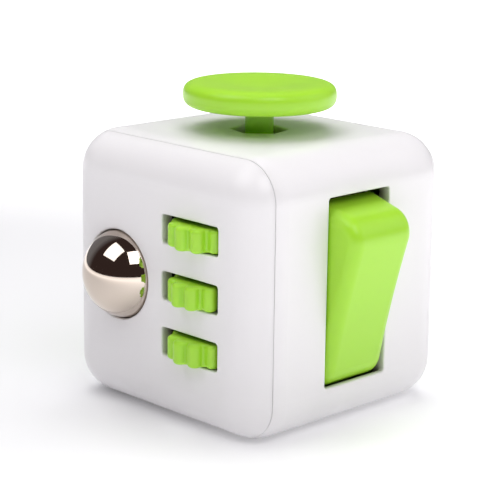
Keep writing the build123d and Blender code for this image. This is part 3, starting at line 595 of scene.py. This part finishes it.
def add_ball():
    """A sphere: centre + radius x (cos u cos v, cos u sin v, sin u), u from pole to pole, v once round."""
    centre, half = middle_and_half("ball")
    tilt = np.linspace(-np.pi / 2, np.pi / 2, BALL_ROWS)
    grid = turned(half.max() * np.cos(tilt), half.max() * np.sin(tilt), BALL_COLUMNS)
    add_piece("steel_ball", capped_surface(grid + centre), "ball", "polished_steel", "ball")


# ---- Thumb disc ----

DISC_RIM_WIDTH = 1.95 * MM
DISC_RIM_POWER = 2.7
DISC_HEIGHT = 2.95 * MM
DISC_DISH_DEPTH = 0.55 * MM
DISC_STEM_R = 1.725 * MM
DISC_STEM_ROOT_R = 0.6 * MM
DISC_BORE_R = 0.82 * MM
DISC_BORE_TOP = 4.1 * MM
DISC_DISH_STEPS = 30
DISC_RIM_STEPS = 60
DISC_ROOT_STEPS = 10
DISC_COLUMNS = 160


def add_thumb_disc():
    """A turned disc: a cosine dish, a squared-up elliptical rim, a flat underside, and a bored stem.

    The stem meets the underside in a round root.
    The dish's height is rim top - depth x (1 + cos(pi r / R)) / 2, so it is level at its middle and its rim.
    """
    centre, half = middle_and_half("glide_cap")
    foot = centre[2] - half[2]
    top = centre[2] + half[2]
    under = top - DISC_HEIGHT
    crest_r = half[0] - DISC_RIM_WIDTH
    dish_r = np.linspace(0, crest_r, DISC_DISH_STEPS)
    dish_h = top - DISC_DISH_DEPTH * (1 + np.cos(np.pi * dish_r / crest_r)) / 2
    rim_centre = (crest_r, (top + under) / 2)
    rim_radii = (DISC_RIM_WIDTH, DISC_HEIGHT / 2)
    rim = arc(rim_centre, rim_radii, 90, -90, DISC_RIM_STEPS, DISC_RIM_POWER)
    root_centre = (DISC_STEM_R + DISC_STEM_ROOT_R, under - DISC_STEM_ROOT_R)
    root = arc(root_centre, DISC_STEM_ROOT_R, 90, 180, DISC_ROOT_STEPS)
    bore_top = foot + DISC_BORE_TOP
    stem = [(DISC_STEM_R, foot), (DISC_BORE_R, foot), (DISC_BORE_R, bore_top), (0, bore_top)]
    profile = np.vstack([np.stack([dish_r, dish_h], axis=-1), rim[1:], root, stem])
    grid = turned(profile[:, 0], profile[:, 1], DISC_COLUMNS)
    grid[..., :2] += centre[:2]
    add_piece("thumb_disc", capped_surface(grid), "glide_disc", "green_plastic", "glide_cap")


# ---- Lobed wheels ----

WHEEL_LOBES = 11
# Degrees from the front (-Y) to each wheel's first lobe, anticlockwise as seen from above.
WHEEL_FIRST_LOBE = {"wheel_1": -4.0, "wheel_2": -14.0, "wheel_3": -8.0}
WHEEL_TIP_R = 4.55 * MM
WHEEL_VALLEY_R = 3.75 * MM
WHEEL_LOBE_R = 0.85 * MM
WHEEL_EDGE_R = 0.45 * MM
WHEEL_BORE_R = 0.8 * MM
WHEEL_LOBE_STEPS = 14
WHEEL_HOLLOW_STEPS = 10
WHEEL_EDGE_STEPS = 9


def lobed_outline(first_lobe):
    """Points and outward normals round a wheel: round lobes and round hollows that meet in a common tangent.

    A lobe is an arc of radius a about a point at distance A; the hollow between two lobes is an arc of radius
    b about a point at distance B, where B = (A^2 - (a - V)^2) / (2 (A cos h + a - V)) and b = B - V, for the
    valley's radius V and half the lobes' pitch h. Both arcs end on the line between their two centres.
    """
    half_pitch = np.pi / WHEEL_LOBES
    lobe_at = WHEEL_TIP_R - WHEEL_LOBE_R
    short = WHEEL_LOBE_R - WHEEL_VALLEY_R
    hollow_at = (lobe_at**2 - short**2) / (2 * (lobe_at * np.cos(half_pitch) + short))
    hollow_r = hollow_at - WHEEL_VALLEY_R
    span = np.arctan2(hollow_at * np.sin(half_pitch), hollow_at * np.cos(half_pitch) - lobe_at)
    swing = span - half_pitch
    lobe_turn = np.linspace(-span, span, WHEEL_LOBE_STEPS)
    hollow_turn = np.pi + half_pitch + np.linspace(swing, -swing, WHEEL_HOLLOW_STEPS)[1:-1]
    lobe_normal = np.stack([np.cos(lobe_turn), np.sin(lobe_turn)], axis=-1)
    hollow_out = np.stack([np.cos(hollow_turn), np.sin(hollow_turn)], axis=-1)
    hollow_centre = hollow_at * np.array([np.cos(half_pitch), np.sin(half_pitch)])
    points = np.vstack([(lobe_at, 0) + WHEEL_LOBE_R * lobe_normal, hollow_centre + hollow_r * hollow_out])
    normals = np.vstack([lobe_normal, -hollow_out])
    turn = np.radians(first_lobe - 90) + 2 * half_pitch * np.arange(WHEEL_LOBES)[:, None]
    turned_pairs = []
    for pair in (points, normals):
        across = pair[:, 0] * np.cos(turn) - pair[:, 1] * np.sin(turn)
        along = pair[:, 0] * np.sin(turn) + pair[:, 1] * np.cos(turn)
        turned_pairs.append(np.stack([across, along], axis=-1).reshape(-1, 2))
    return turned_pairs


def add_wheel(node):
    """A lobed wheel: the outline stands at each height of a profile, drawn in along its normal at the edges.

    The inset at a rounded edge is e - e cos t while the height runs e sin t past the straight flank. The
    first and last rows are the bore, so the skin closes on itself like a ring.
    """
    centre, half = middle_and_half(node)
    points, normals = lobed_outline(WHEEL_FIRST_LOBE[node])
    flank = half[2] - WHEEL_EDGE_R
    bend = np.linspace(0, np.pi / 2, WHEEL_EDGE_STEPS)
    edge_rise = flank + WHEEL_EDGE_R * np.sin(bend)
    rise = np.concatenate([edge_rise[::-1], -edge_rise])
    inset = WHEEL_EDGE_R * (1 - np.cos(np.concatenate([bend[::-1], bend])))
    flat = points[None] - normals[None] * inset[:, None, None]
    bore = WHEEL_BORE_R * points / np.linalg.norm(points, axis=-1, keepdims=True)
    flat = np.concatenate([bore[None], flat, bore[None]])
    rise = np.concatenate([rise[:1], rise, rise[-1:]])
    height = np.broadcast_to(rise[:, None, None], (*flat.shape[:2], 1))
    grid = np.concatenate([flat, height], axis=-1)
    axle = joint_place(f"{node}_spin")
    grid += (axle[0], axle[1], centre[2])
    add_piece(f"{node}_lobed", ring_surface(grid), node, "green_plastic", node)


# ---- Push buttons ----

BUTTON_HEAD_R = 2.75 * MM
BUTTON_CROWN = 0.3 * MM
BUTTON_RIM_R = 0.45 * MM
BUTTON_HEAD_H = 3.0 * MM
BUTTON_FLANGE_H = 1.5 * MM
BUTTON_STEM_R = 1.1 * MM
BUTTON_CROWN_STEPS = 16
BUTTON_RIM_STEPS = 10
BUTTON_COLUMNS = 72


def add_button(node):
    """A turned button: a crown that falls with r^2, a round rim tangent to it, a flange and a stem."""
    centre, half = middle_and_half(node)
    face = half[1]
    slope = np.arctan(2 * BUTTON_CROWN / (BUTTON_HEAD_R - BUTTON_RIM_R))
    crown_r = BUTTON_HEAD_R - BUTTON_RIM_R * (1 - np.sin(slope))
    crown = np.linspace(0, crown_r, BUTTON_CROWN_STEPS)
    crown_h = face - BUTTON_CROWN * (crown / crown_r) ** 2
    rim_centre = (BUTTON_HEAD_R - BUTTON_RIM_R, crown_h[-1] - BUTTON_RIM_R * np.cos(slope))
    rim = arc(rim_centre, BUTTON_RIM_R, 90 - np.degrees(slope), 0, BUTTON_RIM_STEPS)
    flange_top = face - BUTTON_HEAD_H
    flange_under = flange_top - BUTTON_FLANGE_H
    body = [
        (BUTTON_HEAD_R, flange_top),
        (half[0], flange_top),
        (half[0], flange_under),
        (BUTTON_STEM_R, flange_under),
        (BUTTON_STEM_R, -half[1]),
        (0, -half[1]),
    ]
    profile = np.vstack([np.stack([crown, crown_h], axis=-1), rim[1:], body])
    grid = turned(profile[:, 0], profile[:, 1], BUTTON_COLUMNS)[..., [0, 2, 1]]
    add_piece(f"{node}_crowned", capped_surface(grid + centre), node, "green_plastic", node)


add_ball()
add_thumb_disc()
for wheel_node in WHEEL_FIRST_LOBE:
    add_wheel(wheel_node)
for button_number in range(1, 6):
    add_button(f"button_{button_number}")


# ---- Stage ----

VIEW_AZIMUTH = math.radians(45.5)
VIEW_ELEVATION = math.radians(14.07)
VIEW_ROLL = math.radians(0.78)
VIEW_DISTANCE = 211.4 * MM
VIEW_AIM = (-0.96 * MM, 1.47 * MM)
VIEW_LENS = 124.56
VIEW_SENSOR = 36.0
VIEW_NEAREST = 1 * MM
CASE_MIDDLE = Vector((0, 0, CASE_HALF))


def view_axes():
    """The camera's right, up and backward directions, from its azimuth, elevation and roll."""
    away = Vector((
        math.sin(VIEW_AZIMUTH) * math.cos(VIEW_ELEVATION),
        -math.cos(VIEW_AZIMUTH) * math.cos(VIEW_ELEVATION),
        math.sin(VIEW_ELEVATION),
    ))
    level = Vector((math.cos(VIEW_AZIMUTH), math.sin(VIEW_AZIMUTH), 0))
    upright = away.cross(level)
    right = level * math.cos(VIEW_ROLL) + upright * math.sin(VIEW_ROLL)
    up = upright * math.cos(VIEW_ROLL) - level * math.sin(VIEW_ROLL)
    return right, up, away


RIGHT, UP, AWAY = view_axes()
LEVEL_AWAY = Vector((AWAY.x, AWAY.y, 0)).normalized()


def add_camera():
    """The camera, set back from the cube's middle and shifted a little so that the cube isn't centred."""
    data = bpy.data.cameras.new("camera")
    data.lens = VIEW_LENS
    data.sensor_width = VIEW_SENSOR
    data.clip_start = VIEW_NEAREST
    camera = bpy.data.objects.new("camera", data)
    bpy.context.scene.collection.objects.link(camera)
    place = CASE_MIDDLE + RIGHT * VIEW_AIM[0] + UP * VIEW_AIM[1] + AWAY * VIEW_DISTANCE
    turn = Matrix((RIGHT, UP, AWAY)).transposed()
    camera.matrix_world = Matrix.Translation(place) @ turn.to_4x4()
    bpy.context.scene.camera = camera


# Name, direction, distance, width, height, power, and whether the cube mirrors it.
SOFTBOXES = (
    ("softbox_left", (-0.52, 0.71, 0.47), 0.45, 0.30, 0.28, 0.57, True),
    ("softbox_right", (0.24, 0.57, 0.79), 0.34, 0.154, 0.192, 0.32, True),
    ("softbox_top", (-0.05, 0.98, -0.05), 0.50, 0.40, 0.40, 2.0, False),
    ("side_fill", (0.85, 0.50, 0.15), 0.45, 0.35, 0.35, 0.42, True),
)


def add_softbox(name, direction, distance, width, height, power, mirrored):
    """A rectangular light that faces the cube's middle, from along the camera's right, up and back.

    Sizes are in metres and power in watts. An unmirrored light shows in no reflection.
    """
    data = bpy.data.lights.new(name, "AREA")
    data.shape = "RECTANGLE"
    data.size = width
    data.size_y = height
    data.energy = power
    lamp = bpy.data.objects.new(name, data)
    lamp.visible_glossy = mirrored
    bpy.context.scene.collection.objects.link(lamp)
    towards = (RIGHT * direction[0] + UP * direction[1] + AWAY * direction[2]).normalized()
    lamp.location = CASE_MIDDLE + towards * distance
    lamp.rotation_euler = towards.to_track_quat("Z", "Y").to_euler()


FLOOR_HALF = 1.5
FLOOR_PAINT = {"Color": (0.82, 0.82, 0.84, 1.0), "Scale": 8.0, "Amount": 0.02}
FLOOR_ROUGHNESS = 0.5
# How far the spot of painted shadow on the table is to the camera's right, and nearer to it along the floor.
FLOOR_PAINTED_SHADOW_RIGHT = -60 * MM
FLOOR_PAINTED_SHADOW_NEARER = -30 * MM
FLOOR_NEAR = 50 * MM
FLOOR_FAR = 170 * MM
FLOOR_NEAR_GLOW = 0.09
FLOOR_FAR_GLOW = 1.0


def add_floor():
    """A wide white table with painted light: it glows, least at a spot of painted shadow left of the cube and a
    little behind it.

    The painted glow rises smoothly with distance from that spot, from the near distance to the far one.
    """
    mesh = bpy.data.meshes.new("table")
    corners = [(x * FLOOR_HALF, y * FLOOR_HALF, 0) for x, y in ((-1, -1), (1, -1), (1, 1), (-1, 1))]
    mesh.from_pydata(corners, [], [(0, 1, 2, 3)])
    table = bpy.data.objects.new("table", mesh)
    bpy.context.scene.collection.objects.link(table)
    material, tree, shader = new_material("table")
    vector = object_coords(tree)
    tone = place_group(tree, DRIFT, {"Vector": vector, **FLOOR_PAINT})
    tree.links.new(tone.outputs["Color"], shader.inputs["Base Color"])
    shader.inputs["Roughness"].default_value = FLOOR_ROUGHNESS
    # Painted shadow: the table's glow is least round this spot, where the cube's shade falls on the table.
    painted_shadow_spot = RIGHT * FLOOR_PAINTED_SHADOW_RIGHT + LEVEL_AWAY * FLOOR_PAINTED_SHADOW_NEARER
    painted_shadow_spot.z = 0
    distance = vector_node(tree, "LENGTH", vector_node(tree, "SUBTRACT", vector, painted_shadow_spot))
    glow = tree.nodes.new("ShaderNodeMapRange")
    glow.interpolation_type = "SMOOTHSTEP"
    glow.inputs["From Min"].default_value = FLOOR_NEAR
    glow.inputs["From Max"].default_value = FLOOR_FAR
    glow.inputs["To Min"].default_value = FLOOR_NEAR_GLOW
    glow.inputs["To Max"].default_value = FLOOR_FAR_GLOW
    tree.links.new(distance, glow.inputs["Value"])
    # Painted light: the table's own glow brightens it and lights the cube from below.
    shader.inputs["Emission Color"].default_value = WHITE
    tree.links.new(glow.outputs["Result"], shader.inputs["Emission Strength"])
    mesh.materials.append(material)


ROOM_STRENGTH = 0.45
ROOM_FAR_SIDE = (0.45, 0.45, 0.48, 1.0)
ROOM_NEAR_SIDE = (0.10, 0.065, 0.06, 1.0)
ROOM_FAR_ENDS = 0.22
ROOM_NEAR_STARTS = 0.38


def add_room():
    """Pale surroundings: white to the camera, and darker on its side in what lights the cube.

    A direction's place between the two sides is 0 straight away from the camera and 1 straight towards it.
    """
    world = bpy.data.worlds.new("room")
    bpy.context.scene.world = world
    world.use_nodes = True
    tree = world.node_tree
    tree.nodes.clear()
    output = tree.nodes.new("ShaderNodeOutputWorld")
    seen = tree.nodes.new("ShaderNodeBackground")
    seen.inputs["Color"].default_value = WHITE
    seen.inputs["Strength"].default_value = 1.0
    lit = tree.nodes.new("ShaderNodeBackground")
    coords = tree.nodes.new("ShaderNodeTexCoord").outputs["Generated"]
    facing = vector_node(tree, "DOT_PRODUCT", coords, LEVEL_AWAY)
    ramp = tree.nodes.new("ShaderNodeValToRGB")
    far_side, near_side = ramp.color_ramp.elements
    far_side.position = ROOM_FAR_ENDS
    far_side.color = ROOM_FAR_SIDE
    near_side.position = ROOM_NEAR_STARTS
    near_side.color = ROOM_NEAR_SIDE
    half_dot = math_node(tree, "MULTIPLY", facing, 0.5)
    tree.links.new(math_node(tree, "ADD", half_dot, 0.5), ramp.inputs["Fac"])
    tree.links.new(ramp.outputs["Color"], lit.inputs["Color"])
    lit.inputs["Strength"].default_value = ROOM_STRENGTH
    path = tree.nodes.new("ShaderNodeLightPath")
    mix = tree.nodes.new("ShaderNodeMixShader")
    tree.links.new(path.outputs["Is Camera Ray"], mix.inputs["Fac"])
    tree.links.new(lit.outputs["Background"], mix.inputs[1])
    tree.links.new(seen.outputs["Background"], mix.inputs[2])
    tree.links.new(mix.outputs["Shader"], output.inputs["Surface"])


bpy.context.scene.view_settings.view_transform = "Standard"
add_camera()
add_floor()
add_room()
for softbox in SOFTBOXES:
    add_softbox(*softbox)
